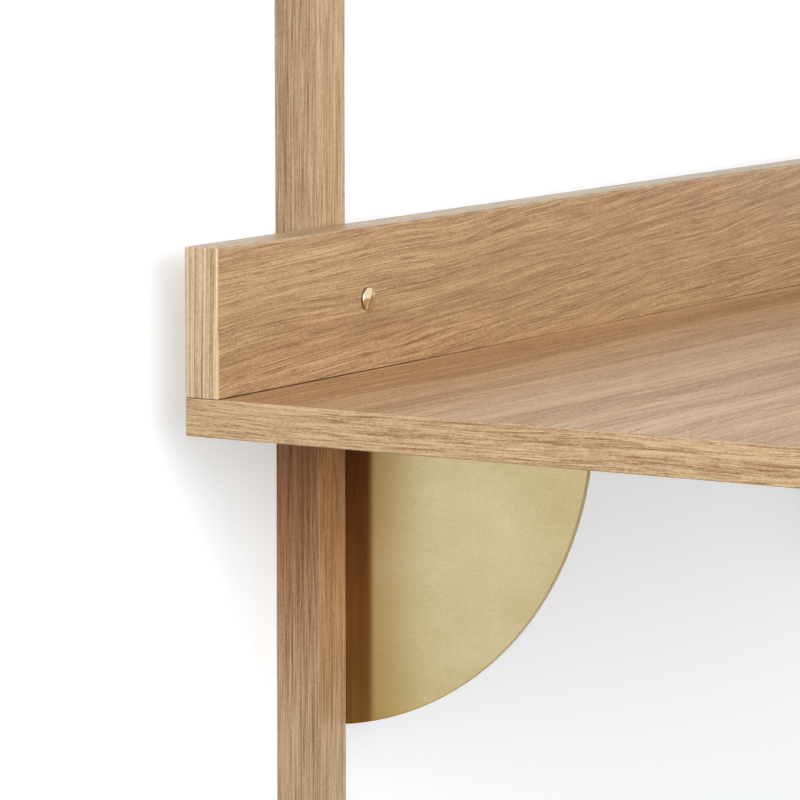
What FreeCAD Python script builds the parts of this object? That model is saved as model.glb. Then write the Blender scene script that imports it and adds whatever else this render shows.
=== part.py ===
import FreeCAD, Part
import os
import Sketcher
from FreeCAD import Placement, Rotation, Vector

# A wall desk: a veneered desktop with an upstand along its back, screwed to two wall rails
# and carried by two quarter-circle brass brackets on the inner sides of the rails.
# Frame: the origin is on the wall, at the centre of the four wall holes. +X runs to the
# right along the wall, +Y into the wall and +Z up.

# Driving dimensions, in millimetres, degrees and counts
SIZES = {
    # Boards
    "desk_width": 900,
    "desktop_depth": 425,
    "desktop_thickness": 18,
    "upstand_height": 71,
    "upstand_thickness": 18,
    "veneer_thickness": 0.6,
    "band_thickness": 1.5,
    "board_edge_radius": 0.6,
    # Wall rails
    "rail_width": 25,
    "rail_depth": 25,
    "rail_length": 700,
    "rail_drop": 300,
    "rail_inset": 116,
    "rail_edge_radius": 0.6,
    "wall_hole_diameter": 5.5,
    "wall_sink_diameter": 11,
    "wall_hole_end": 30,
    # Brackets
    "bracket_radius": 164,
    "bracket_thickness": 3,
    "flange_width": 22,
    "flange_length": 100,
    "flange_setback": 14,
    "bend_radius": 2,
    "bend_relief": 1,
    "plate_edge_radius": 0.4,
    # Slotted dome-head screws through the upstand into the rails
    "dome_head_diameter": 11.3,
    "dome_head_height": 2.2,
    "dome_crown_height": 0.6,
    "dome_edge_radius": 0.8,
    "dome_shank_diameter": 5,
    "dome_screw_offset": 4,
    "dome_slot_width": 1.9,
    "dome_slot_depth": 1.2,
    "dome_slot_angle": 54,
    # Countersunk slotted wood screws
    "sunk_head_diameter": 8,
    "sunk_shank_diameter": 4,
    "sunk_slot_width": 1.1,
    "sunk_slot_depth": 1.1,
    "screw_tip_length": 5,
    "screw_tip_cover": 8,
    "rail_screw_count": 3,
    "rail_screw_first": 32,
    "rail_screw_pitch": 45,
    "flange_screw_count": 3,
    "flange_screw_end": 15,
    "base_screw_count": 5,
    "base_screw_end": 60,
    "base_screw_bite": 32,
    # Dowels between the upstand and the desktop
    "dowel_diameter": 8,
    "dowel_length": 30,
    "dowel_sink": 10,
    # Play between a fastener's shank and its hole
    "fastener_play": 0.1,
}

doc = FreeCAD.newDocument("wall_desk")
sheet = doc.addObject("Spreadsheet::Sheet", "sizes")
for row, (alias, number) in enumerate(SIZES.items(), start=1):
    sheet.set(f"A{row}", alias)
    sheet.set(f"B{row}", str(number))
    sheet.setAlias(f"B{row}", alias)
doc.recompute()

# Places that several pieces share, as expressions on the sheet
LEFT_END = "(-sizes.desk_width / 2)"
RIGHT_END = "(sizes.desk_width / 2)"
DESK_TOP = "(sizes.rail_drop - sizes.rail_length / 2)"
DESK_UNDERSIDE = f"({DESK_TOP} - sizes.desktop_thickness)"
UPSTAND_TOP = f"({DESK_TOP} + sizes.upstand_height)"
BOARD_BACK = "(-sizes.rail_depth)"
DESK_FRONT = f"({BOARD_BACK} - sizes.desktop_depth)"
UPSTAND_FRONT = f"({BOARD_BACK} - sizes.upstand_thickness)"
UPSTAND_MIDDLE = f"({BOARD_BACK} - sizes.upstand_thickness / 2)"
RAIL_OUTER = f"({LEFT_END} + sizes.rail_inset)"
RAIL_INNER = f"({RAIL_OUTER} + sizes.rail_width)"
FLANGE_START = f"({BOARD_BACK} - sizes.flange_setback)"
BEND_OUTER = "(sizes.bend_radius + sizes.bracket_thickness)"
BASE_PITCH = "((sizes.desk_width - 2 * sizes.base_screw_end) / (sizes.base_screw_count - 1))"
SUNK_HEAD_HEIGHT = "((sizes.sunk_head_diameter - sizes.sunk_shank_diameter) / 2)"

# Two lengths closer than this are the same length
SAME_LENGTH = 1e-6


def value(expression):
    """Work out an expression on the sheet as a plain number."""
    return float(sheet.evalExpression(expression))


def bind(thing, **expressions):
    """Bind an object's properties to expressions; a double underscore stands for a dot."""
    for name, expression in expressions.items():
        thing.setExpression(name.replace("__", "."), expression)


def place(thing, x, y, z):
    """Bind an object's position to expressions."""
    bind(thing, Placement__Base__x=x, Placement__Base__y=y, Placement__Base__z=z)


def origin_feature(body, role):
    """Find a plane or an axis of a body's own origin."""
    return next(feature for feature in body.Origin.OriginFeatures if feature.Role == role)


def new_body(name):
    """Start a body."""
    return doc.addObject("PartDesign::Body", name)


def new_sketch(body, name, role):
    """Start a sketch on one of a body's origin planes."""
    sketch = body.newObject("Sketcher::SketchObject", name)
    sketch.AttachmentSupport = [(origin_feature(body, role), "")]
    sketch.MapMode = "FlatFace"
    return sketch


def hold(sketch, geometry, point, x, y=None):
    """Hold a sketch point's coordinates at expressions; a y of None is left free."""
    for kind, axis, expression in (("DistanceX", -2, x), ("DistanceY", -1, y)):
        if expression is None:
            continue
        if expression == "0":
            sketch.addConstraint(Sketcher.Constraint("PointOnObject", geometry, point, axis))
            continue
        distance = Sketcher.Constraint(kind, -1, 1, geometry, point, value(expression))
        index = sketch.addConstraint(distance)
        sketch.setExpression(f"Constraints[{index}]", expression)


def outline(sketch, corners):
    """Draw a closed outline. A corner is (x, y), or (x, y, centre_x, centre_y) where the
    stretch that leaves it is an arc about that centre, the short way round."""
    spots = [Vector(value(corner[0]), value(corner[1]), 0) for corner in corners]
    for index, corner in enumerate(corners):
        start = spots[index]
        end = spots[(index + 1) % len(spots)]
        if len(corner) == 2:
            sketch.addGeometry(Part.LineSegment(start, end), False)
            continue
        centre = Vector(value(corner[2]), value(corner[3]), 0)
        radius = (start - centre).Length
        middle = centre + ((start + end) * 0.5 - centre).normalize() * radius
        if (start - centre).cross(end - centre).z < 0:
            start, end = end, start
        sketch.addGeometry(Part.Arc(start, middle, end), False)
    ends = [line_ends(sketch, index, spots[index]) for index in range(len(corners))]
    for index, corner in enumerate(corners):
        after = (index + 1) % len(corners)
        join = Sketcher.Constraint("Coincident", index, ends[index][1], after, ends[after][0])
        sketch.addConstraint(join)
        hold(sketch, index, ends[index][0], corner[0], corner[1])
        if len(corner) == 4:
            hold(sketch, index, 3, corner[2])


def line_ends(sketch, index, start):
    """Say which of a line's or an arc's two ends lies at the outline's start corner."""
    geometry = sketch.Geometry[index]
    forward = (geometry.StartPoint - start).Length < (geometry.EndPoint - start).Length
    return (1, 2) if forward else (2, 1)


def rectangle(sketch, x_low, y_low, x_high, y_high):
    """Draw a rectangle between two corners."""
    outline(sketch, [(x_low, y_low), (x_high, y_low), (x_high, y_high), (x_low, y_high)])


def extrude(body, kind, name, sketch, length, reverse=False):
    """Pad or pocket a sketch to a length."""
    feature = body.newObject(f"PartDesign::{kind}", name)
    feature.Profile = sketch
    feature.Reversed = reverse
    bind(feature, Length=length)
    doc.recompute()
    return feature


def eased(body, base, name, radius, edges=()):
    """Round some edges of a feature, or every edge where none are named."""
    fillet = body.newObject("PartDesign::Fillet", name)
    fillet.Base = (base, list(edges) or [""])
    fillet.UseAllEdges = not edges
    bind(fillet, Radius=radius)
    doc.recompute()


def round_edges(shape, radius):
    """Name the edges of a shape that are arcs of a radius."""
    arcs = []
    for index, edge in enumerate(shape.Edges, start=1):
        if isinstance(edge.Curve, Part.Circle) and abs(edge.Curve.Radius - radius) < SAME_LENGTH:
            arcs.append(f"Edge{index}")
    return arcs


def block(name, width, depth, height):
    """Make a plain block from its body's origin, padded upwards."""
    body = new_body(name)
    sketch = new_sketch(body, f"{name}_plan", "XY_Plane")
    rectangle(sketch, "0", "0", width, depth)
    pad = extrude(body, "Pad", f"{name}_pad", sketch, height)
    return body, pad


def slab(name, low, high):
    """Make a box between two corners given as expressions."""
    box = doc.addObject("Part::Box", name)
    place(box, *low)
    bind(box, Length=f"{high[0]} - {low[0]}", Width=f"{high[1]} - {low[1]}")
    bind(box, Height=f"{high[2]} - {low[2]}")
    return box


def layer(board, name, low, high):
    """Take the layer of a board that lies between two corners."""
    common = doc.addObject("Part::Common", f"{name}_layer")
    common.Base = board
    common.Tool = slab(f"{name}_slab", low, high)
    return common


def gathered(name, things):
    """Hold several objects as one group of separate solids."""
    group = doc.addObject("Part::Compound", name)
    group.Links = things
    return group


def drilled(name, piece, bores):
    """Cut a group of bores out of a piece."""
    cut = doc.addObject("Part::Cut", f"{name}_drilled")
    cut.Base = piece
    cut.Tool = gathered(f"{name}_bores", bores)
    return cut


def mirrored(name, thing):
    """Mirror an object to the desk's other end."""
    mirror = doc.addObject("Part::Mirroring", name)
    mirror.Source = thing
    mirror.Base = Vector(0, 0, 0)
    mirror.Normal = Vector(1, 0, 0)
    return mirror


def turned(name, corners):
    """Turn a profile about its upright axis; a corner's first value is its radius."""
    body = new_body(name)
    sketch = new_sketch(body, f"{name}_profile", "XZ_Plane")
    outline(sketch, corners)
    revolution = body.newObject("PartDesign::Revolution", f"{name}_turn")
    revolution.Profile = sketch
    revolution.ReferenceAxis = (sketch, ["V_Axis"])
    revolution.Angle = 360
    doc.recompute()
    return body, revolution


def slotted(body, name, width, depth, head_diameter, angle="0"):
    """Cut a driver slot across a screw's head, which lies at the body's origin."""
    sketch = new_sketch(body, f"{name}_slot_plan", "XY_Plane")
    half_width = f"({width} / 2)"
    rectangle(sketch, f"-{head_diameter}", f"-{half_width}", head_diameter, half_width)
    bind(sketch, AttachmentOffset__Rotation__Angle=angle)
    return extrude(body, "Pocket", f"{name}_slot", sketch, depth, reverse=True)


def repeated(body, name, features, role, count, length):
    """Repeat a body's features along one of its axes, spread over a length."""
    pattern = body.newObject("PartDesign::LinearPattern", f"{name}_row")
    pattern.Originals = features
    pattern.Direction = (origin_feature(body, role), [""])
    bind(pattern, Occurrences=count, Length=length)
    body.Tip = pattern
    doc.recompute()


def sunk_screw(name, length):
    """Turn a countersunk slotted wood screw: head at the origin, tip up."""
    head = "(sizes.sunk_head_diameter / 2)"
    shank = "(sizes.sunk_shank_diameter / 2)"
    corners = [
        ("0", "0"),
        (head, "0"),
        (shank, SUNK_HEAD_HEIGHT),
        (shank, f"({length} - sizes.screw_tip_length)"),
        ("0", length),
    ]
    body, revolution = turned(name, corners)
    width = "sizes.sunk_slot_width"
    depth = "sizes.sunk_slot_depth"
    slot = slotted(body, name, width, depth, "sizes.sunk_head_diameter")
    return body, [revolution, slot]


def sunk_bore(name, length):
    """Turn the hole for such a screw: its cone seats the head, with play round the shank."""
    head = "(sizes.sunk_head_diameter / 2)"
    shank = "(sizes.sunk_shank_diameter / 2 + sizes.fastener_play)"
    corners = [
        ("0", "0"),
        (head, "0"),
        (shank, f"({SUNK_HEAD_HEIGHT} - sizes.fastener_play)"),
        (shank, f"({length} + sizes.fastener_play)"),
        ("0", f"({length} + sizes.fastener_play)"),
    ]
    body, revolution = turned(name, corners)
    return body, [revolution]


def screw_row(name, length, role, count, spread, x, y, z, turn=Rotation()):
    """Make a row of countersunk screws and the bores that they need."""
    row = []
    for label, maker in ((name, sunk_screw), (f"{name}_bore", sunk_bore)):
        body, features = maker(label, length)
        repeated(body, label, features, role, count, spread)
        body.Placement = Placement(Vector(0, 0, 0), turn)
        place(body, x, y, z)
        row.append(body)
    return row


# Desktop and upstand blanks, with every edge eased
desktop, desktop_pad = block(
    "desktop_blank", "sizes.desk_width", "sizes.desktop_depth", "sizes.desktop_thickness"
)
eased(desktop, desktop_pad, "desktop_easing", "sizes.board_edge_radius")
place(desktop, LEFT_END, DESK_FRONT, DESK_UNDERSIDE)

upstand, upstand_pad = block(
    "upstand_blank", "sizes.desk_width", "sizes.upstand_thickness", "sizes.upstand_height"
)
eased(upstand, upstand_pad, "upstand_easing", "sizes.board_edge_radius")
place(upstand, LEFT_END, UPSTAND_FRONT, DESK_TOP)

# Dome-head screw through the upstand into the rail, head towards the room
DOME_RADIUS = "(sizes.dome_head_diameter / 2)"
DOME_SHANK = "(sizes.dome_shank_diameter / 2)"
DOME_SEAT = "sizes.dome_head_height"
DOME_CROWN = "sizes.dome_crown_height"
DOME_EDGE = "sizes.dome_edge_radius"
DOME_FACE = f"({DOME_RADIUS} - {DOME_EDGE})"
DOME_BALL = f"(({DOME_FACE} ^ 2 + {DOME_CROWN} ^ 2) / (2 * {DOME_CROWN}))"
DOME_TIP = f"({DOME_SEAT} + sizes.upstand_thickness + sizes.rail_depth - sizes.screw_tip_cover)"

dome_screw, _ = turned("dome_screw", [
    ("0", "0", "0", DOME_BALL),
    (DOME_FACE, DOME_CROWN, DOME_FACE, f"({DOME_CROWN} + {DOME_EDGE})"),
    (DOME_RADIUS, f"({DOME_CROWN} + {DOME_EDGE})"),
    (DOME_RADIUS, DOME_SEAT),
    (DOME_SHANK, DOME_SEAT),
    (DOME_SHANK, f"({DOME_TIP} - sizes.screw_tip_length)"),
    ("0", DOME_TIP),
])
slotted(
    dome_screw, "dome_screw", "sizes.dome_slot_width", "sizes.dome_slot_depth",
    "sizes.dome_head_diameter", "-sizes.dome_slot_angle"
)
DOME_BORE = f"({DOME_SHANK} + sizes.fastener_play)"
dome_bore, _ = turned("dome_screw_bore", [
    ("0", DOME_SEAT),
    (DOME_BORE, DOME_SEAT),
    (DOME_BORE, f"({DOME_TIP} + sizes.fastener_play)"),
    ("0", f"({DOME_TIP} + sizes.fastener_play)"),
])
INTO_WALL = Rotation(Vector(1, 0, 0), -90)
for dome_body in (dome_screw, dome_bore):
    dome_body.Placement = Placement(Vector(0, 0, 0), INTO_WALL)
    place(
        dome_body,
        f"{RAIL_OUTER} + sizes.rail_width / 2 + sizes.dome_screw_offset",
        f"{UPSTAND_FRONT} - {DOME_SEAT}",
        f"{DESK_TOP} + sizes.upstand_height / 2",
    )
dome_bores = [dome_bore, mirrored("dome_screw_bore_right", dome_bore)]

# Screws that hold the bracket to the inner side of its rail, pointing outwards
TOWARDS_LEFT_END = Rotation(Vector(0, 1, 0), -90)
rail_screws, rail_screw_bore = screw_row(
    "rail_screw",
    "(sizes.bracket_thickness + sizes.rail_width - sizes.screw_tip_cover)",
    "X_Axis",
    "sizes.rail_screw_count",
    "(sizes.rail_screw_count - 1) * sizes.rail_screw_pitch",
    f"{RAIL_INNER} + sizes.bracket_thickness",
    "-sizes.rail_depth / 2",
    f"{DESK_UNDERSIDE} - sizes.rail_screw_first - (sizes.rail_screw_count - 1) * sizes.rail_screw_pitch",
    TOWARDS_LEFT_END,
)

# Screws through the bracket's flange, up into the desktop
flange_screws, flange_screw_bore = screw_row(
    "flange_screw",
    "(sizes.bracket_thickness + sizes.desktop_thickness - sizes.screw_tip_cover)",
    "Y_Axis",
    "sizes.flange_screw_count",
    "sizes.flange_length - 2 * sizes.flange_screw_end",
    f"{RAIL_INNER} + ({BEND_OUTER} + sizes.flange_width) / 2",
    f"{FLANGE_START} - sizes.flange_length + sizes.flange_screw_end",
    f"{DESK_UNDERSIDE} - sizes.bracket_thickness",
)
flange_bores = [flange_screw_bore, mirrored("flange_screw_bore_right", flange_screw_bore)]

# Screws up through the desktop into the foot of the upstand
base_screws, base_screw_bore = screw_row(
    "base_screw",
    "(sizes.desktop_thickness + sizes.base_screw_bite)",
    "X_Axis",
    "sizes.base_screw_count",
    "sizes.desk_width - 2 * sizes.base_screw_end",
    f"{LEFT_END} + sizes.base_screw_end",
    UPSTAND_MIDDLE,
    DESK_UNDERSIDE,
)


def dowel_row(name, play):
    """Make the row of dowels, one midway between each two base screws, or their holes."""
    radius = f"(sizes.dowel_diameter / 2 + {play})"
    length = f"(sizes.dowel_length + 2 * {play})"
    corners = [("0", "0"), (radius, "0"), (radius, length), ("0", length)]
    body, revolution = turned(name, corners)
    count = "sizes.base_screw_count - 1"
    repeated(body, name, [revolution], "X_Axis", count, f"(sizes.base_screw_count - 2) * {BASE_PITCH}")
    x = f"{LEFT_END} + sizes.base_screw_end + {BASE_PITCH} / 2"
    place(body, x, UPSTAND_MIDDLE, f"{DESK_TOP} - sizes.dowel_sink - {play}")
    return body


dowels = dowel_row("dowel", "0")
dowel_bore = dowel_row("dowel_bore", "sizes.fastener_play")

# Left wall rail: a square bar with eased edges and two countersunk wall holes
rail, rail_pad = block("rail_bar", "sizes.rail_width", "sizes.rail_depth", "sizes.rail_length")
eased(rail, rail_pad, "rail_easing", "sizes.rail_edge_radius")
wall_hole_spots = new_sketch(rail, "wall_hole_spots", "XZ_Plane")
for hole, height in enumerate(("sizes.wall_hole_end", "(sizes.rail_length - sizes.wall_hole_end)")):
    spot = Vector(value("sizes.rail_width / 2"), value(height), 0)
    circle = Part.Circle(spot, Vector(0, 0, 1), value("sizes.wall_hole_diameter / 2"))
    wall_hole_spots.addGeometry(circle, False)
    hold(wall_hole_spots, hole, 3, "sizes.rail_width / 2", height)
    bore = Sketcher.Constraint("Diameter", hole, value("sizes.wall_hole_diameter"))
    constraint = wall_hole_spots.addConstraint(bore)
    wall_hole_spots.setExpression(f"Constraints[{constraint}]", "sizes.wall_hole_diameter")
doc.recompute()
wall_holes = rail.newObject("PartDesign::Hole", "wall_holes")
wall_holes.Profile = wall_hole_spots
wall_holes.ThreadType = "None"
wall_holes.DepthType = "ThroughAll"
wall_holes.HoleCutType = "Countersink"
wall_holes.HoleCutCustomValues = True
wall_holes.HoleCutCountersinkAngle = 90
bind(wall_holes, Diameter="sizes.wall_hole_diameter", HoleCutDiameter="sizes.wall_sink_diameter")
doc.recompute()
place(rail, RAIL_OUTER, BOARD_BACK, "-sizes.rail_length / 2")
left_rail = drilled("left_rail", rail, [dome_bore, rail_screw_bore])

# Left bracket: a quarter-circle plate whose square corner lies where the wall meets the
# desktop's underside, with a flange folded inwards under the desktop
bracket = new_body("bracket_plate")
sector = new_sketch(bracket, "bracket_sector", "YZ_Plane")
RADIUS = "sizes.bracket_radius"
outline(sector, [
    ("0", RADIUS, RADIUS, RADIUS),
    (RADIUS, "0"),
    (RADIUS, RADIUS),
])
plate = extrude(bracket, "Pad", "bracket_pad", sector, "sizes.bracket_thickness")
rim = round_edges(plate.Shape, value(RADIUS))
eased(bracket, plate, "bracket_rim_easing", "sizes.plate_edge_radius", rim)

FLANGE_NEAR = f"({RADIUS} + {FLANGE_START})"
FLANGE_FAR = f"({FLANGE_NEAR} - sizes.flange_length)"
BEND_LEVEL = f"({RADIUS} - {BEND_OUTER})"
notch = new_sketch(bracket, "bend_notch_plan", "YZ_Plane")
rectangle(
    notch, f"({FLANGE_FAR} - sizes.bend_relief)", BEND_LEVEL,
    f"({FLANGE_NEAR} + sizes.bend_relief)", RADIUS
)
extrude(bracket, "Pocket", "bend_notch", notch, "sizes.bracket_thickness", reverse=True)

fold = new_sketch(bracket, "flange_profile", "XZ_Plane")
outline(fold, [
    ("0", BEND_LEVEL, BEND_OUTER, BEND_LEVEL),
    (BEND_OUTER, RADIUS),
    ("sizes.flange_width", RADIUS),
    ("sizes.flange_width", f"({RADIUS} - sizes.bracket_thickness)"),
    (BEND_OUTER, f"({RADIUS} - sizes.bracket_thickness)", BEND_OUTER, BEND_LEVEL),
    ("sizes.bracket_thickness", BEND_LEVEL),
])
bind(fold, AttachmentOffset__Base__z=f"-{FLANGE_FAR}")
extrude(bracket, "Pad", "flange_pad", fold, "sizes.flange_length", reverse=True)
place(bracket, RAIL_INNER, f"-{RADIUS}", f"{DESK_UNDERSIDE} - {RADIUS}")
left_bracket = drilled("left_bracket", bracket, [rail_screw_bore, flange_screw_bore])

# Board layers: bands at the ends run the full depth or height, the others lie between them
BAND = "sizes.band_thickness"
VENEER = "sizes.veneer_thickness"
INNER_LEFT = f"({LEFT_END} + {BAND})"
INNER_RIGHT = f"({RIGHT_END} - {BAND})"
INNER_FRONT = f"({DESK_FRONT} + {BAND})"
INNER_BACK = f"({BOARD_BACK} - {BAND})"
TOP_GLUE = f"({DESK_TOP} - {VENEER})"
BOTTOM_GLUE = f"({DESK_UNDERSIDE} + {VENEER})"
UPSTAND_CORE_FRONT = f"({UPSTAND_FRONT} + {VENEER})"
UPSTAND_CORE_BACK = f"({BOARD_BACK} - {VENEER})"
UPSTAND_CORE_TOP = f"({UPSTAND_TOP} - {BAND})"

# Each row: the piece, the board it belongs to, its low and high corners, and its bores
BOARD_PIECES = [
    ("desktop_core", desktop,
     (INNER_LEFT, INNER_FRONT, BOTTOM_GLUE), (INNER_RIGHT, INNER_BACK, TOP_GLUE),
     [base_screw_bore, dowel_bore, *flange_bores]),
    ("desktop_top_veneer", desktop,
     (INNER_LEFT, INNER_FRONT, TOP_GLUE), (INNER_RIGHT, INNER_BACK, DESK_TOP),
     [base_screw_bore, dowel_bore]),
    ("desktop_bottom_veneer", desktop,
     (INNER_LEFT, INNER_FRONT, DESK_UNDERSIDE), (INNER_RIGHT, INNER_BACK, BOTTOM_GLUE),
     [base_screw_bore, *flange_bores]),
    ("desktop_left_band", desktop,
     (LEFT_END, DESK_FRONT, DESK_UNDERSIDE), (INNER_LEFT, BOARD_BACK, DESK_TOP), []),
    ("desktop_right_band", desktop,
     (INNER_RIGHT, DESK_FRONT, DESK_UNDERSIDE), (RIGHT_END, BOARD_BACK, DESK_TOP), []),
    ("desktop_front_band", desktop,
     (INNER_LEFT, DESK_FRONT, DESK_UNDERSIDE), (INNER_RIGHT, INNER_FRONT, DESK_TOP), []),
    ("desktop_back_band", desktop,
     (INNER_LEFT, INNER_BACK, DESK_UNDERSIDE), (INNER_RIGHT, BOARD_BACK, DESK_TOP), []),
    ("upstand_core", upstand,
     (INNER_LEFT, UPSTAND_CORE_FRONT, DESK_TOP), (INNER_RIGHT, UPSTAND_CORE_BACK, UPSTAND_CORE_TOP),
     [base_screw_bore, dowel_bore, *dome_bores]),
    ("upstand_front_veneer", upstand,
     (INNER_LEFT, UPSTAND_FRONT, DESK_TOP), (INNER_RIGHT, UPSTAND_CORE_FRONT, UPSTAND_CORE_TOP),
     dome_bores),
    ("upstand_back_veneer", upstand,
     (INNER_LEFT, UPSTAND_CORE_BACK, DESK_TOP), (INNER_RIGHT, BOARD_BACK, UPSTAND_CORE_TOP),
     dome_bores),
    ("upstand_top_band", upstand,
     (INNER_LEFT, UPSTAND_FRONT, UPSTAND_CORE_TOP), (INNER_RIGHT, BOARD_BACK, UPSTAND_TOP), []),
    ("upstand_left_band", upstand,
     (LEFT_END, UPSTAND_FRONT, DESK_TOP), (INNER_LEFT, BOARD_BACK, UPSTAND_TOP), []),
    ("upstand_right_band", upstand,
     (INNER_RIGHT, UPSTAND_FRONT, DESK_TOP), (RIGHT_END, BOARD_BACK, UPSTAND_TOP), []),
]

# Every piece by the name of its file, with mirror images at the right end
nodes = {
    "left_rail": left_rail,
    "right_rail": mirrored("right_rail", left_rail),
    "left_bracket": left_bracket,
    "right_bracket": mirrored("right_bracket", left_bracket),
    "upstand_base_screws": base_screws,
    "upstand_dowels": dowels,
}
for label, screws in (
    ("upstand_dome_screws", dome_screw),
    ("bracket_rail_screws", rail_screws),
    ("bracket_flange_screws", flange_screws),
):
    nodes[label] = gathered(label, [screws, mirrored(f"{label}_right", screws)])
for label, board, low, high, bores in BOARD_PIECES:
    piece = layer(board, label, low, high)
    nodes[label] = drilled(label, piece, bores) if bores else piece
for label, node in nodes.items():
    node.Label = label
doc.recompute()

# Nothing is written unless every feature worked and every piece is a sound solid
for feature in doc.Objects:
    if "Invalid" in feature.State or "Error" in feature.State:
        raise RuntimeError(f"{feature.Label} failed: {feature.State}")
for label, node in nodes.items():
    if node.Shape.isNull() or not node.Shape.isValid() or not node.Shape.Solids:
        raise RuntimeError(f"{label} has no sound shape")

os.makedirs("parts", exist_ok=True)
for label, node in nodes.items():
    node.Shape.exportStep(f"parts/{label}.step")
    solids = len(node.Shape.Solids)
    print(f"{label}: {solids} solid(s), {node.Shape.Volume:.1f} mm3")
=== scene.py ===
import math

import bpy
from mathutils import Matrix, Vector


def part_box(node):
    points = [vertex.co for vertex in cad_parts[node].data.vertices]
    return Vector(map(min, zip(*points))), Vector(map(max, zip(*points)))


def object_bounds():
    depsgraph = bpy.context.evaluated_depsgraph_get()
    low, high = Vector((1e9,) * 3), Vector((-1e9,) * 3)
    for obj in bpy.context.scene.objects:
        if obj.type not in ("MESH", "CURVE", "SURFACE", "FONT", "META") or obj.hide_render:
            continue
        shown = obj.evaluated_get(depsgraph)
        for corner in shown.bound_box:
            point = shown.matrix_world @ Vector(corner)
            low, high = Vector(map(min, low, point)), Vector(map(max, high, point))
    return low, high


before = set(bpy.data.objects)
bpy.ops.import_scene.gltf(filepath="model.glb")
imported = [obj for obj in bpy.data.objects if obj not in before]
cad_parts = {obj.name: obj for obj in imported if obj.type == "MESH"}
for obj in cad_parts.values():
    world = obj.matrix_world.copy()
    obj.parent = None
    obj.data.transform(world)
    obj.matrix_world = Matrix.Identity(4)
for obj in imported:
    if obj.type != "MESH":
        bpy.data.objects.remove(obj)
cad_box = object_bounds()

# Places that the frame gives, in metres
LEFT_END = cad_box[0].x
DESK_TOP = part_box("desktop_top_veneer")[1].z
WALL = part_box("left_rail")[1].y
RAIL_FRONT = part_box("left_rail")[0].y
UPSTAND_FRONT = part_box("upstand_front_veneer")[0].y
DESK_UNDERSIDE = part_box("left_bracket")[1].z
BRACKET_RADIUS = DESK_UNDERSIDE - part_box("left_bracket")[0].z

# Camera: its place is measured from the desk's left end, the wall and the desktop's top
CAMERA_FROM_LEFT_END = -1.6898
CAMERA_FROM_WALL = -1.1740
CAMERA_ABOVE_TOP = 0.2643
CAMERA_YAW = math.radians(58.601)
CAMERA_PITCH = math.radians(-7.407)
CAMERA_LENS_MM = 198.05
SENSOR_MM = 36.0

# Stage: a wall just behind the rails, and a floor at a desk's usual height below the desktop
DESK_HEIGHT = 0.74
FLOOR = DESK_TOP - DESK_HEIGHT
WALL_GAP = 0.0005
WALL_REACH = 2.0
WALL_HEIGHT = 4.0
FLOOR_REACH = 1.6
WALL_GLOW = 0.41
FLOOR_GLOW = 0.5

# Light: the room's strength from below and above, and round lamps that point at the desk's left half
ROOM_BELOW = 0.08
ROOM_ABOVE = 0.32
LAMP_AIM = (LEFT_END / 2, RAIL_FRONT, DESK_TOP)
# A lamp is its place and diameter in metres, its power in watts, and whether metal mirrors it
LAMPS = {
    "key": ((-2.7, -1.5, 1.2), 2.7, 84.0, True),
    "left_fill": ((-1.6, -2.9, 0.6), 1.8, 34.0, False),
    "right_fill": ((1.6, -2.7, 0.2), 2.2, 26.0, False),
    "back": ((0.6, 3.0, 0.8), 2.2, 42.0, False),
}


def srgb(red, green, blue):
    """Turn a colour of 0 to 255 per channel into the linear colour that shaders take."""
    linear = []
    for channel in (red, green, blue):
        share = channel / 255
        linear.append(share / 12.92 if share <= 0.04045 else ((share + 0.055) / 1.055) ** 2.4)
    return (*linear, 1.0)


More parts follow.
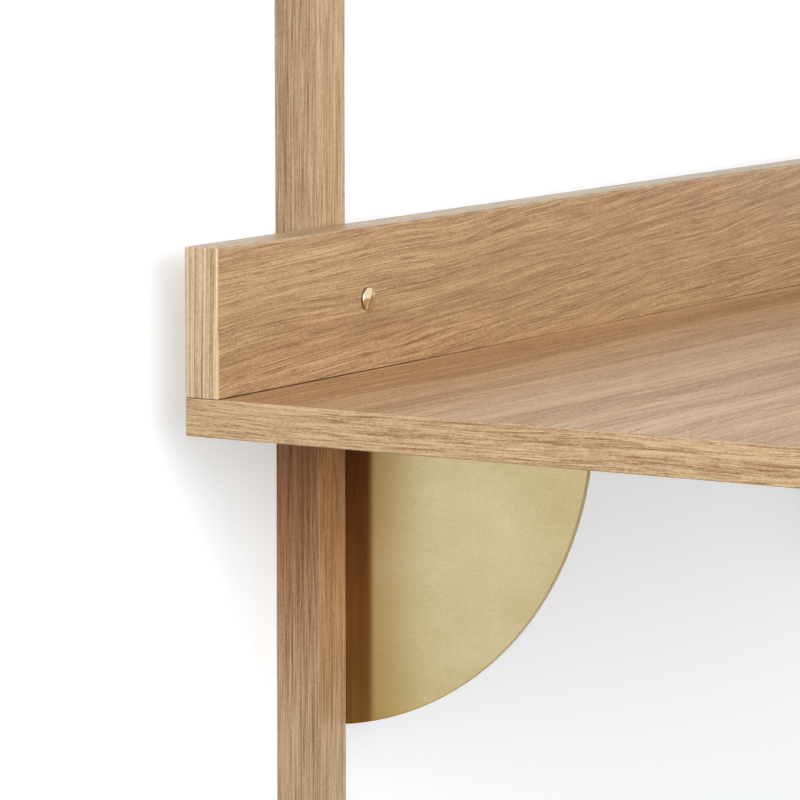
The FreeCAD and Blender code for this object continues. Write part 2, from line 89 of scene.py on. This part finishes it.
class Graph:
    """A node tree, with short calls that add nodes and link them."""

    def __init__(self, tree):
        self.tree = tree
        tree.nodes.clear()

    def give(self, socket, given):
        """Link a socket to another one, or set it to a constant."""
        if isinstance(given, bpy.types.NodeSocket):
            self.tree.links.new(given, socket)
        else:
            socket.default_value = given

    def add(self, kind, inputs=None, **settings):
        """Add a node; an input's value is a socket to link or a constant."""
        node = self.tree.nodes.new(f"ShaderNode{kind}")
        for name, setting in settings.items():
            setattr(node, name, setting)
        for name, given in (inputs or {}).items():
            self.give(node.inputs[name], given)
        return node

    def place(self):
        """Give the surface's place in the desk's own frame."""
        return self.add("TexCoord").outputs["Object"]

    def split(self, points):
        """Split places into their X, Y and Z."""
        return self.add("SeparateXYZ", {0: points}).outputs

    def math(self, operation, first, second=0.0, clamp=False):
        """Work out one operation on two numbers."""
        node = self.add("Math", {0: first, 1: second}, operation=operation, use_clamp=clamp)
        return node.outputs[0]

    def vector(self, operation, first, second):
        """Work out one operation on two vectors."""
        return self.add("VectorMath", {0: first, 1: second}, operation=operation).outputs[0]

    def from_axis(self, points, centre):
        """Measure how far places lie from a line along X through a centre."""
        flat = self.vector("MULTIPLY", points, (0.0, 1.0, 1.0))
        node = self.add("VectorMath", {0: flat, 1: centre}, operation="DISTANCE")
        return node.outputs["Value"]

    def remap(self, number, low, high, to_low=0.0, to_high=1.0, smooth=False):
        """Map a range of numbers onto another, held at its ends."""
        node = self.add("MapRange", {
            "Value": number, "From Min": low, "From Max": high, "To Min": to_low, "To Max": to_high,
        })
        node.interpolation_type = "SMOOTHSTEP" if smooth else "LINEAR"
        return node.outputs[0]

    def blend(self, share, first, second, kind="MIX"):
        """Mix two colours; a Mix node's colour sockets are known by their numbers."""
        node = self.add("Mix", data_type="RGBA", blend_type=kind, clamp_factor=True)
        for number, given in ((0, share), (6, first), (7, second)):
            self.give(node.inputs[number], given)
        return node.outputs[2]

    def ramp(self, number, stops):
        """Look a number up on a ramp of colours."""
        node = self.add("ValToRGB", {"Fac": number})
        elements = node.color_ramp.elements
        while len(elements) < len(stops):
            elements.new(1.0)
        for element, (place, colour) in zip(elements, stops):
            element.position = place
            element.color = colour
        return node.outputs["Color"]

    def grain(self, points, length, width, detail=2.0, roughness=0.55):
        """Noise drawn out along the grain: features of about this length and width."""
        stretched = self.vector("MULTIPLY", points, (1 / length, 1 / width, 1 / width))
        return self.add("TexNoise", {
            "Vector": stretched, "Scale": 1.0, "Detail": detail, "Roughness": roughness,
        })

    def bump(self, height, strength, distance):
        """Turn a height into a normal."""
        node = self.add("Bump", {"Height": height, "Strength": strength, "Distance": distance})
        return node.outputs["Normal"]

    def seen(self):
        """Give 1 to what the eye sees, straight, mirrored or through glass, and 0 to other rays."""
        path = self.add("LightPath").outputs
        seen = self.math("ADD", path["Is Camera Ray"], path["Is Glossy Ray"])
        return self.math("ADD", seen, path["Is Transmission Ray"], clamp=True)

    def finish(self, shader, kind="Material"):
        """Link the last shader to the output."""
        output = self.add(f"Output{kind}")
        self.tree.links.new(shader.outputs[0], output.inputs["Surface"])


def new_material(name):
    """Start a material with an empty node tree."""
    material = bpy.data.materials.new(name)
    material.use_nodes = True
    return material, Graph(material.node_tree)


# Turns that bring each grain direction onto the first texture axis
GRAIN_TURNS = {
    "x": (0.0, 0.0, 0.0),
    "y": (0.0, 0.0, -math.pi / 2),
    "z": (0.0, math.pi / 2, 0.0),
}
# Depths under a face at which its own colour starts and is full
SKIN = (0.0006, 0.0002)

# Oak colours: pores, the painted warm shade under the desktop, the painted glow of brass light on the
# rail's front there, and the dark of a joint
OAK_PORE = srgb(112, 72, 40)
OAK_PAINTED_WARM_SHADE = srgb(247, 212, 190)
OAK_PAINTED_BRASS_GLOW = (1.40, 1.14, 0.93, 1.0)
JOINT_DARK = srgb(84, 52, 26)
# Where the dark, middle and light colours lie in the tone
TONE_STOPS = (0.15, 0.5, 0.85)
# How a seed moves the wood under the texture axes
SEED_SHIFT = (1.0, 0.37, 0.61)
# The grain's waves along the board: their length, width and share of the sway
SWAY_WAVES = ((0.34, 0.070, 2.0), (0.060, 0.012, 0.14))
# Growth rings: their heart, how far they drift in years and over what size, and the early wood
HEART = (0.0, 0.085, 0.130)
RING_DRIFT = 5.0
RING_DRIFT_SIZE = (0.9, 0.022)
EARLY_WOOD = (0.02, 0.38)
# Pores: the noise's detail and roughness, their crowding in the early wood, and where noise is a pore
PORE_NOISE = (1.0, 0.5)
PORE_CROWDING = 0.06
PORE_RANGE = (0.60, 0.76)
# Depths below the desktop at which its painted warm shade and glow are gone and are full
PAINTED_SHADE_GONE = 0.19
PAINTED_SHADE_FULL = 0.03
# Joints: the share of their reach that is fully dark, and where along the half width they open
JOINT_CORE = 0.4
JOINT_OPENS = (0.3, 0.75)
JOINT_CLOSED = 0.1
# Lacquer: the relief of the tone under it, its bump, and how tone and pores change its roughness
TONE_RELIEF = 0.5
OAK_BUMP = (0.25, 0.00012)
OAK_SHEEN_TONES = (0.3, 0.7)
OAK_DARK_ROUGHER = 0.03
OAK_LIGHT_SMOOTHER = 0.02
PORE_ROUGHER = 0.12


def sway_grain(graph, straight, sway):
    """Bend the grain: it sways along the board, and ripples over a shorter length."""
    points = straight
    for length, width, share in SWAY_WAVES:
        bent = graph.grain(straight, length, width).outputs["Color"]
        centred = graph.vector("SUBTRACT", bent, (0.5, 0.5, 0.5))
        shift = graph.vector("MULTIPLY", centred, (0.0, share * sway[0], share * sway[1]))
        points = graph.vector("ADD", points, shift)
    return points


def early_wood(graph, points, ring_width):
    """Growth rings about a heart that lies behind the face: 1 in a ring's early wood, 0 in its late."""
    drift = graph.grain(points, *RING_DRIFT_SIZE).outputs["Fac"]
    year = graph.math("DIVIDE", graph.from_axis(points, HEART), ring_width)
    year = graph.math("ADD", year, graph.math("MULTIPLY", drift, RING_DRIFT))
    season = graph.math("FRACT", year)
    return graph.remap(season, *EARLY_WOOD, 1.0, 0.0, smooth=True)


def fibre_tone(graph, points, early, ring_depth, layers):
    """Tone about a middle of 0.5: the rings, and over them broad bands, streaks and fibres."""
    tone = graph.remap(early, 0.0, 1.0, 0.5 + 0.5 * ring_depth, 0.5 - 0.5 * ring_depth)
    for length, width, depth in layers:
        noise = graph.grain(points, length, width).outputs["Fac"]
        centred = graph.math("SUBTRACT", noise, 0.5)
        tone = graph.math("ADD", tone, graph.math("MULTIPLY", centred, depth))
    return tone


def pore_dashes(graph, points, early, size):
    """Pores: short dark dashes, crowded in the early wood."""
    dashes = graph.grain(points, *size, *PORE_NOISE).outputs["Fac"]
    crowded = graph.math("ADD", dashes, graph.math("MULTIPLY", early, PORE_CROWDING))
    return graph.remap(crowded, *PORE_RANGE, smooth=True)


def paint_shade_below_desktop(graph, colour, coordinates):
    """Paint warm shade on the wood just under the desktop, and on its front a painted glow of light from
    the brass.
    """
    place = graph.split(coordinates)
    above = graph.remap(place["Z"], DESK_TOP, DESK_UNDERSIDE, smooth=True)
    below = graph.remap(
        place["Z"], DESK_UNDERSIDE - PAINTED_SHADE_GONE, DESK_UNDERSIDE - PAINTED_SHADE_FULL, smooth=True,
    )
    front = graph.remap(place["Y"], RAIL_FRONT + SKIN[0], RAIL_FRONT + SKIN[1])
    share = graph.math("MULTIPLY", above, below)
    return graph.blend(share, colour, graph.blend(front, OAK_PAINTED_WARM_SHADE, OAK_PAINTED_BRASS_GLOW), "MULTIPLY")


def darken_joint(graph, colour, coordinates, axis, place, reach):
    """Draw a dark line where one board stands on another, more open towards the desk's ends."""
    spot = graph.split(coordinates)
    gap = graph.math("ABSOLUTE", graph.math("SUBTRACT", spot[axis], place))
    shade = graph.remap(gap, JOINT_CORE * reach, reach, 1.0, 0.0, smooth=True)
    from_middle = graph.math("ABSOLUTE", spot["X"])
    starts, ends = (share * -LEFT_END for share in JOINT_OPENS)
    opened = graph.remap(from_middle, starts, ends, JOINT_CLOSED, 1.0)
    return graph.blend(graph.math("MULTIPLY", shade, opened), colour, JOINT_DARK)


def oak(name, grain, tones, layers, *, tilt=0.0, seed=0.0, sway=(0.003, 0.003), ring_width=0.0045,
        ring_depth=0.10, pore_size=(0.006, 0.0004), pore_depth=0.45, roughness=0.42, gloss=0.5,
        painted_shade_below=False, joints=()):
    """Oak with growth rings, layers of drawn-out fibres and pores, cut along one axis of the desk.
    The tones are dark, middle and light, a layer is (length, width, depth), the sway is along the two
    texture axes across the grain, and a joint is (axis, place, reach)."""
    material, graph = new_material(name)
    coordinates = graph.place()
    straight = graph.add("Mapping", {
        "Vector": coordinates,
        "Location": [seed * share for share in SEED_SHIFT],
        "Rotation": Vector(GRAIN_TURNS[grain]) + Vector((0.0, tilt, 0.0)),
    }).outputs["Vector"]
    points = sway_grain(graph, straight, sway)
    early = early_wood(graph, points, ring_width)
    tone = fibre_tone(graph, points, early, ring_depth, layers)
    pores = pore_dashes(graph, points, early, pore_size)

    colour = graph.ramp(tone, [(stop, srgb(*shade)) for stop, shade in zip(TONE_STOPS, tones)])
    colour = graph.blend(graph.math("MULTIPLY", pores, pore_depth), colour, OAK_PORE)
    # Painted warm shade under the desktop, with a painted glow of brass light on the rail's front
    if painted_shade_below:
        colour = paint_shade_below_desktop(graph, colour, coordinates)
    for axis, place, reach in joints:
        colour = darken_joint(graph, colour, coordinates, axis, place, reach)

    # Fibres and pores break the lacquer's sheen
    relief = graph.math("SUBTRACT", graph.math("MULTIPLY", tone, TONE_RELIEF), pores)
    sheen = graph.remap(
        tone, *OAK_SHEEN_TONES, roughness + OAK_DARK_ROUGHER, roughness - OAK_LIGHT_SMOOTHER,
    )
    shader = graph.add("BsdfPrincipled", {
        "Base Color": colour,
        "Roughness": graph.math("ADD", sheen, graph.math("MULTIPLY", pores, PORE_ROUGHER)),
        "Normal": graph.bump(relief, *OAK_BUMP),
        "Specular IOR Level": gloss,
    })
    graph.finish(shader)
    return material


# Brass colours: the painted reflection of the rail beside it, a painted dimmer reflection near it, the
# bracket's darker round edge and painted contact shade under a dome head's rim
BRASS_PAINTED_RAIL_REFLECTION = srgb(112, 74, 56)
BRASS_PAINTED_DIM_REFLECTION = srgb(152, 118, 58)
BRASS_EDGE = srgb(122, 98, 54)
BRASS_PAINTED_RIM_SHADE = srgb(62, 40, 18)
# Noises along the desk's depth: length, width, detail and roughness, and their share of the tone
BRUSH_LINES = (0.030, 0.0005, 3.0, 0.6)
TARNISH_CLOUDS = (0.050, 0.035, 4.0, 0.55)
BRASS_SPECKS = (0.0012, 0.0012, 2.0, 0.7)
LINE_SHARE = 0.2
CLOUD_SHARE = 0.45
SPECK_SHARE = 0.3
# The middle of the brackets' faces is worn paler: its place, its reach and the tone there and away from it
WEAR_SPOT = (0.0, WALL - 0.55 * BRACKET_RADIUS, DESK_UNDERSIDE - 0.42 * BRACKET_RADIUS)
WEAR_REACH = (0.02, 0.6 * BRACKET_RADIUS)
WEAR_TONE = (0.13, -0.06)
# Where the dark and light colours lie in the tone
BRASS_STOPS = (0.34, 0.72)
# Distances in front of the rail at which the painted dimmer reflection and the painted reflection of the
# rail start, and are full
DIM_REFLECTION_REACH = (0.055, 0.014)
DIM_REFLECTION_MOST = 0.9
RAIL_REFLECTION_REACH = (0.017, 0.012)
# How deep the painted reflection of the rail is at the bracket's foot and at its top, deeper up in the
# desktop's painted shade
RAIL_REFLECTION_RISE = (0.2, 1.3)
# Distances in front of the upstand at which a dome head's painted contact shade starts and is full
RIM_SHADE_REACH = (0.0011, 0.0004)
# The sheen over the clouds, and the depth of the brush lines
BRASS_SHEEN_CLOUDS = (0.3, 0.7)
BRASS_DARK_ROUGHER = 0.04
BRASS_LIGHT_SMOOTHER = 0.03
BRUSH_DEPTH = 0.00004


def paint_rail_reflection_and_edge(graph, colour, coordinates, depth):
    """Paint a dimmer reflection on the brass towards the rail and a dark reflection of the rail beside it,
    deeper towards the desktop, and darken its round edge.
    """
    place = graph.split(coordinates)
    near = graph.remap(
        place["Y"], RAIL_FRONT - DIM_REFLECTION_REACH[0], RAIL_FRONT - DIM_REFLECTION_REACH[1], 0.0, DIM_REFLECTION_MOST, smooth=True,
    )
    colour = graph.blend(graph.math("MULTIPLY", near, depth), colour, BRASS_PAINTED_DIM_REFLECTION)
    beside = graph.remap(
        place["Y"], RAIL_FRONT - RAIL_REFLECTION_REACH[0], RAIL_FRONT - RAIL_REFLECTION_REACH[1], smooth=True,
    )
    high = graph.remap(place["Z"], DESK_UNDERSIDE - BRACKET_RADIUS, DESK_UNDERSIDE, *RAIL_REFLECTION_RISE)
    beside = graph.math("MULTIPLY", beside, graph.math("MULTIPLY", high, depth))
    colour = graph.blend(beside, colour, BRASS_PAINTED_RAIL_REFLECTION)
    from_corner = graph.from_axis(coordinates, (0.0, WALL, DESK_UNDERSIDE))
    edge = graph.remap(from_corner, BRACKET_RADIUS - SKIN[0], BRACKET_RADIUS - SKIN[1])
    return graph.blend(graph.math("MULTIPLY", edge, depth), colour, BRASS_EDGE)


def paint_rim_shade(graph, colour, coordinates, depth):
    """Paint contact shade on the rim of a dome head where it meets the upstand."""
    front = graph.split(coordinates)["Y"]
    rim = graph.remap(front, UPSTAND_FRONT - RIM_SHADE_REACH[0], UPSTAND_FRONT - RIM_SHADE_REACH[1], 0.0, depth)
    return graph.blend(rim, colour, BRASS_PAINTED_RIM_SHADE)


def brass(name, dark, light, *, roughness, grit, painted_reflection_depth=0.0, rim_shade_depth=0.0):
    """Brass with faint brush lines along the desk's depth, pale wear and a cloudy tarnish."""
    material, graph = new_material(name)
    coordinates = graph.place()
    points = graph.add("Mapping", {
        "Vector": coordinates, "Rotation": GRAIN_TURNS["y"],
    }).outputs["Vector"]
    lines = graph.grain(points, *BRUSH_LINES).outputs["Fac"]
    clouds = graph.grain(points, *TARNISH_CLOUDS).outputs["Fac"]
    specks = graph.grain(points, *BRASS_SPECKS).outputs["Fac"]

    from_wear = graph.from_axis(coordinates, WEAR_SPOT)
    tone = graph.remap(from_wear, *WEAR_REACH, *WEAR_TONE, smooth=True)
    for noise, share in ((clouds, CLOUD_SHARE), (lines, LINE_SHARE), (specks, SPECK_SHARE)):
        tone = graph.math("ADD", tone, graph.math("MULTIPLY", noise, share))
    colour = graph.ramp(tone, list(zip(BRASS_STOPS, (srgb(*dark), srgb(*light)))))
    # Painted reflection of the rail and painted shade on the bracket's brass
    if painted_reflection_depth:
        colour = paint_rail_reflection_and_edge(graph, colour, coordinates, painted_reflection_depth)
    # Painted contact shade on a dome head's rim
    if rim_shade_depth:
        colour = paint_rim_shade(graph, colour, coordinates, rim_shade_depth)

    shader = graph.add("BsdfPrincipled", {
        "Base Color": colour,
        "Metallic": 1.0,
        "Roughness": graph.remap(
            clouds, *BRASS_SHEEN_CLOUDS, roughness + BRASS_DARK_ROUGHER, roughness - BRASS_LIGHT_SMOOTHER,
        ),
        "Normal": graph.bump(lines, grit, BRUSH_DEPTH),
    })
    graph.finish(shader)
    return material


# Speckled stock: the noise's detail and roughness, the specks that are dark and light, and their sheen
SPECK_NOISE = (4.0, 0.65)
SPECK_STOPS = (0.3, 0.7)
STOCK_DARK_ROUGHER = 0.08
STOCK_LIGHT_SMOOTHER = 0.05
STOCK_BUMP = (0.2, 0.0001)


def plain_stock(name, dark, light, *, speck_size, roughness, metallic=0.0):
    """Speckled stock for pieces that lie inside: fibreboard, beech and plated steel."""
    material, graph = new_material(name)
    specks = graph.grain(graph.place(), speck_size, speck_size, *SPECK_NOISE).outputs["Fac"]
    shader = graph.add("BsdfPrincipled", {
        "Base Color": graph.ramp(specks, list(zip(SPECK_STOPS, (srgb(*dark), srgb(*light))))),
        "Metallic": metallic,
        "Roughness": graph.remap(
            specks, *SPECK_STOPS, roughness + STOCK_DARK_ROUGHER, roughness - STOCK_LIGHT_SMOOTHER,
        ),
        "Normal": graph.bump(specks, *STOCK_BUMP),
    })
    graph.finish(shader)
    return material


# Layers of the oak's tone, from broad bands to fibres: length, width and depth
UPSTAND_LAYERS = (
    (0.80, 0.030, 0.5),
    (0.40, 0.0060, 0.35),
    (0.30, 0.0013, 0.7),
    (0.11, 0.0006, 1.0),
    (0.042, 0.0004, 1.7),
    (0.0020, 0.0007, 0.8),
)
DESKTOP_LAYERS = (
    (1.20, 0.024, 1.5),
    (0.45, 0.0070, 0.6),
    (0.25, 0.0034, 0.7),
    (0.040, 0.0014, 1.2),
    (0.0030, 0.0014, 1.2),
)
BAND_LAYERS = (
    (0.30, 0.012, 0.4),
    (0.14, 0.0020, 0.6),
    (0.060, 0.0008, 0.8),
    (0.016, 0.00045, 1.5),
    (0.0020, 0.0007, 0.8),
)
END_BAND_LAYERS = (
    (0.60, 0.012, 0.4),
    (0.50, 0.0018, 1.7),
    (0.20, 0.0008, 1.1),
    (0.030, 0.0005, 0.9),
    (0.0020, 0.0007, 0.6),
)
RAIL_LAYERS = (
    (0.60, 0.020, 0.6),
    (0.12, 0.0030, 0.25),
    (0.090, 0.0010, 0.9),
    (0.040, 0.00045, 2.4),
    (0.0020, 0.0007, 0.8),
)
# The brass of all screws, dark and light
SCREW_BRASS = ((232, 208, 164), (250, 235, 206))


def dress(material, *node_names):
    """Give nodes their material."""
    for node_name in node_names:
        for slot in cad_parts[node_name].material_slots:
            slot.material = material


def dress_desk():
    """Give every node of the desk its material; an oak's grain runs along the axis that it names."""
    dress(oak(
        "upstand_face", "x", ((137, 101, 67), (172, 137, 97), (202, 169, 127)), UPSTAND_LAYERS,
        tilt=math.radians(3.5), seed=1.3, sway=(0.0, 0.016), ring_width=0.0036, ring_depth=0.08,
        pore_size=(0.022, 0.0004), pore_depth=0.75, joints=[("Z", DESK_TOP, 0.0007)],
    ), "upstand_front_veneer", "upstand_back_veneer")
    dress(oak(
        "desktop_face", "x", ((161, 116, 76), (186, 144, 101), (211, 176, 135)), DESKTOP_LAYERS,
        seed=2.9, sway=(0.012, 0.0), ring_width=0.007, pore_depth=0.25,
        joints=[("Y", UPSTAND_FRONT, 0.0006)],
    ), "desktop_top_veneer", "desktop_bottom_veneer")
    dress(oak(
        "band_along_x", "x", ((148, 117, 80), (182, 152, 114), (208, 181, 143)), BAND_LAYERS,
        seed=4.1, roughness=0.34, gloss=0.3,
    ), "desktop_front_band", "desktop_back_band", "upstand_top_band")
    dress(oak(
        "band_along_y", "y", ((143, 104, 66), (193, 159, 119), (218, 189, 149)), BAND_LAYERS,
        seed=5.7, sway=(0.0, 0.010), pore_size=(0.018, 0.00045), pore_depth=0.35,
    ), "desktop_left_band", "desktop_right_band")
    dress(oak(
        "band_along_z", "z", ((148, 114, 78), (203, 173, 134), (230, 206, 170)), END_BAND_LAYERS,
        seed=6.1, sway=(0.004, 0.0), pore_size=(0.080, 0.0005), pore_depth=0.55,
        joints=[("Z", DESK_TOP, 0.0005)],
    ), "upstand_left_band", "upstand_right_band")
    dress(oak(
        # The rails get painted warm shade under the desktop and a painted glow of brass light on their
        # fronts
        "rail_bar", "z", ((150, 118, 84), (183, 152, 118), (206, 178, 144)), RAIL_LAYERS,
        seed=7.7, pore_size=(0.040, 0.0004), pore_depth=0.6, gloss=0.25, painted_shade_below=True,
    ), "left_rail", "right_rail")
    # The brackets get a painted reflection of the rail beside it, deeper towards the desktop
    dress(brass(
        "bracket_plate", (181, 159, 111), (203, 187, 149), roughness=0.15, grit=0.12, painted_reflection_depth=0.7,
    ), "left_bracket", "right_bracket")
    # The dome heads get painted contact shade on their rims
    dress(brass(
        "dome_screw", *SCREW_BRASS, roughness=0.12, grit=0.03, rim_shade_depth=0.9,
    ), "upstand_dome_screws")
    dress(brass(
        "brass_screw", *SCREW_BRASS, roughness=0.12, grit=0.03,
    ), "bracket_rail_screws", "bracket_flange_screws")
    dress(plain_stock(
        "steel_screw", (150, 150, 146), (196, 196, 190), speck_size=0.002, roughness=0.32, metallic=1.0,
    ), "upstand_base_screws")
    dress(plain_stock(
        "dowel", (196, 156, 116), (226, 192, 152), speck_size=0.003, roughness=0.6,
    ), "upstand_dowels")
    dress(plain_stock(
        "board_core", (150, 118, 84), (184, 150, 112), speck_size=0.0015, roughness=0.8,
    ), "desktop_core", "upstand_core")


def backdrop_material(name, colour, glow):
    """Matte paint that takes shadows, glows a little towards the eye and isn't there from behind."""
    material, graph = new_material(name)
    matte = graph.add("BsdfDiffuse", {"Color": colour})
    light = graph.add("Emission", {"Strength": graph.math("MULTIPLY", graph.seen(), glow)})
    lit = graph.add("AddShader", {0: matte.outputs[0], 1: light.outputs[0]})
    gone = graph.add("BsdfTransparent")
    behind = graph.add("NewGeometry").outputs["Backfacing"]
    graph.finish(graph.add("MixShader", {0: behind, 1: lit.outputs[0], 2: gone.outputs[0]}))
    return material


# Linear colours of the stage: the wall's is a little blue, because the oak's light falls on it
WALL_PAINT = (0.725, 0.755, 0.785, 1.0)
FLOOR_PAINT = srgb(240, 240, 240)


def stage_sheet(name, corners, material):
    """Make a flat sheet of the stage from its four corners; it throws no light back on the desk."""
    mesh = bpy.data.meshes.new(name)
    mesh.from_pydata(corners, [], [(0, 1, 2, 3)])
    mesh.materials.append(material)
    sheet = bpy.data.objects.new(name, mesh)
    sheet.visible_diffuse = False
    bpy.context.scene.collection.objects.link(sheet)
    return sheet


def set_stage():
    """Put up the wall, through which the desk's back is lit, and lay the floor."""
    back = WALL + WALL_GAP
    top = FLOOR + WALL_HEIGHT
    wall = stage_sheet("wall", [
        (-WALL_REACH, back, FLOOR), (WALL_REACH, back, FLOOR),
        (WALL_REACH, back, top), (-WALL_REACH, back, top),
    ], backdrop_material("wall_paint", WALL_PAINT, WALL_GLOW))
    wall.visible_shadow = False
    stage_sheet("floor", [
        (-FLOOR_REACH, -FLOOR_REACH, FLOOR), (FLOOR_REACH, -FLOOR_REACH, FLOOR),
        (FLOOR_REACH, FLOOR_REACH, FLOOR), (-FLOOR_REACH, FLOOR_REACH, FLOOR),
    ], backdrop_material("floor_paint", FLOOR_PAINT, FLOOR_GLOW))


def hang_lamps():
    """Hang round soft boxes that point at the desk's left half."""
    for name, (spot, diameter, power, mirrored) in LAMPS.items():
        lamp = bpy.data.lights.new(name, "AREA")
        lamp.shape = "DISK"
        lamp.size = diameter
        lamp.energy = power
        holder = bpy.data.objects.new(name, lamp)
        holder.location = spot
        holder.rotation_euler = (Vector(LAMP_AIM) - Vector(spot)).to_track_quat("-Z", "Y").to_euler()
        holder.visible_camera = False
        holder.visible_glossy = mirrored
        bpy.context.scene.collection.objects.link(holder)


def set_world():
    """A pale room, brighter above than below, and plain white where it is seen or mirrored."""
    world = bpy.data.worlds.new("room")
    bpy.context.scene.world = world
    world.use_nodes = True
    graph = Graph(world.node_tree)
    direction = graph.add("TexCoord").outputs["Generated"]
    strength = graph.remap(graph.split(direction)["Z"], -1.0, 1.0, ROOM_BELOW, ROOM_ABOVE)
    strength = graph.remap(graph.seen(), 0.0, 1.0, strength, 1.0)
    light = graph.add("Background", {"Color": (1.0, 1.0, 1.0, 1.0), "Strength": strength})
    graph.finish(light, "World")


def set_camera():
    """Stand the camera where the photograph was taken."""
    camera = bpy.data.objects.new("camera", bpy.data.cameras.new("camera"))
    camera.data.sensor_width = SENSOR_MM
    camera.data.lens = CAMERA_LENS_MM
    right = Vector((math.cos(CAMERA_YAW), -math.sin(CAMERA_YAW), 0.0))
    ahead = Vector((
        math.sin(CAMERA_YAW) * math.cos(CAMERA_PITCH),
        math.cos(CAMERA_YAW) * math.cos(CAMERA_PITCH),
        math.sin(CAMERA_PITCH),
    ))
    up = right.cross(ahead)
    turn = Matrix((right, up, -ahead)).transposed().to_4x4()
    spot = Vector((
        LEFT_END + CAMERA_FROM_LEFT_END, WALL + CAMERA_FROM_WALL, DESK_TOP + CAMERA_ABOVE_TOP,
    ))
    camera.matrix_world = Matrix.Translation(spot) @ turn
    bpy.context.scene.collection.objects.link(camera)
    bpy.context.scene.camera = camera


dress_desk()
set_stage()
hang_lamps()
set_world()
set_camera()
bpy.context.scene.view_settings.view_transform = "Standard"
